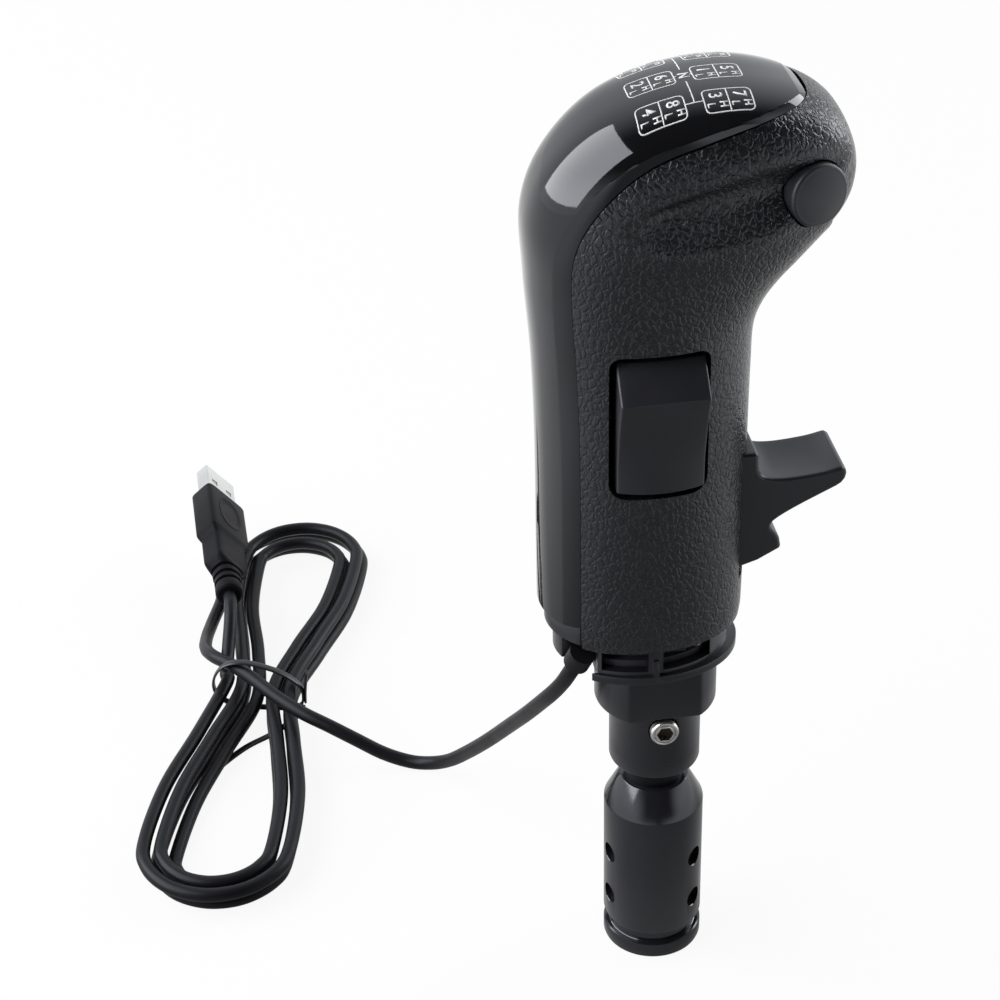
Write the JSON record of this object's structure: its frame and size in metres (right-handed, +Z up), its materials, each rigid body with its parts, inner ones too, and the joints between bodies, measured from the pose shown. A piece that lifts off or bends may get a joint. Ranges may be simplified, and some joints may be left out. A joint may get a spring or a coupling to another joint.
{
  "type": "sim racing gear shifter knob",
  "caption": "Truck style gear knob for a driving simulator: bent grip with a rocker, a front trigger and a thumb button, on a clamp adapter for a lever, with a USB lead tied in a hank.",
  "frame": {"origin": "on the stem's axis at the foot of the lever adapter, where the lever enters its bore", "axes": "+Z up along the stem, +X towards the grip's nose and the trigger, the rocker and the thumb button face -Y"},
  "size_m": [0.1676, 0.2251, 0.2297],
  "materials": {
    "adapter_black": "satin black anodised",
    "black_steel": "black oxide",
    "bright_steel": "bright plated",
    "hub_plastic": "smooth matte",
    "grain_plastic": "fine leather grain",
    "gloss_black": "polished",
    "control_plastic": "satin",
    "frame_plastic": "plain moulded",
    "nylon": "plain moulded",
    "contact_brass": "plain",
    "board_green": "lacquered",
    "cord_jacket": "satin",
    "tie_black": "plain"
  },
  "bodies": {
    "knob": {"lever_adapter": "adapter_black", "lever_sleeve": "hub_plastic", "clamp_screws": "black_steel", "threaded_stud": "black_steel", "mount_hub": "hub_plastic", "hub_set_screw": "bright_steel", "hub_screws": "bright_steel", "base_collar": "hub_plastic", "inner_frame": "frame_plastic", "grip_body": "grain_plastic", "spine_cover": "gloss_black", "rocker_pin": "black_steel", "rocker_housing": "hub_plastic", "rocker_bridge": "contact_brass", "rocker_terminals": "contact_brass", "trigger_pin": "bright_steel", "trigger_bushes": "nylon", "trigger_switch": "frame_plastic", "switch_screws": "bright_steel", "detent_leaf": "bright_steel", "button_bush": "hub_plastic", "button_spring": "bright_steel", "button_switch": "frame_plastic", "circuit_board": "board_green", "board_screws": "bright_steel", "control_chip": "tie_black", "cord_socket": "nylon", "cord_grommet": "cord_jacket", "usb_cord": "cord_jacket", "usb_hank": "cord_jacket", "cord_tie": "tie_black", "plug_mould": "cord_jacket", "plug_shell": "bright_steel", "plug_tongue": "nylon", "plug_contacts": "contact_brass"},
    "rocker": {"rocker_cap": "control_plastic", "rocker_plunger": "bright_steel", "rocker_spring": "bright_steel"},
    "trigger": {"trigger_lever": "control_plastic"},
    "button": {"button_cap": "control_plastic"}
  },
  "joints": [
    {"name": "rocker_tilt", "type": "hinge", "parent": "knob", "child": "rocker", "pos_m": [-0.0036, -0.0105, 0.1576], "axis": [1, 0, 0], "range_deg": [0, 12]},
    {"name": "trigger_swing", "type": "hinge", "parent": "knob", "child": "trigger", "pos_m": [0.005, 0, 0.1275], "axis": [0, 1, 0], "range_deg": [0, 14]},
    {"name": "button_press", "type": "slide", "parent": "knob", "child": "button", "axis": [-0.3416, 0.9384, -0.0523], "range_m": [0, 0.0015], "stiffness_N_per_m": 200, "springref_m": -0.006, "deforming": ["button_spring"]}
  ]
}
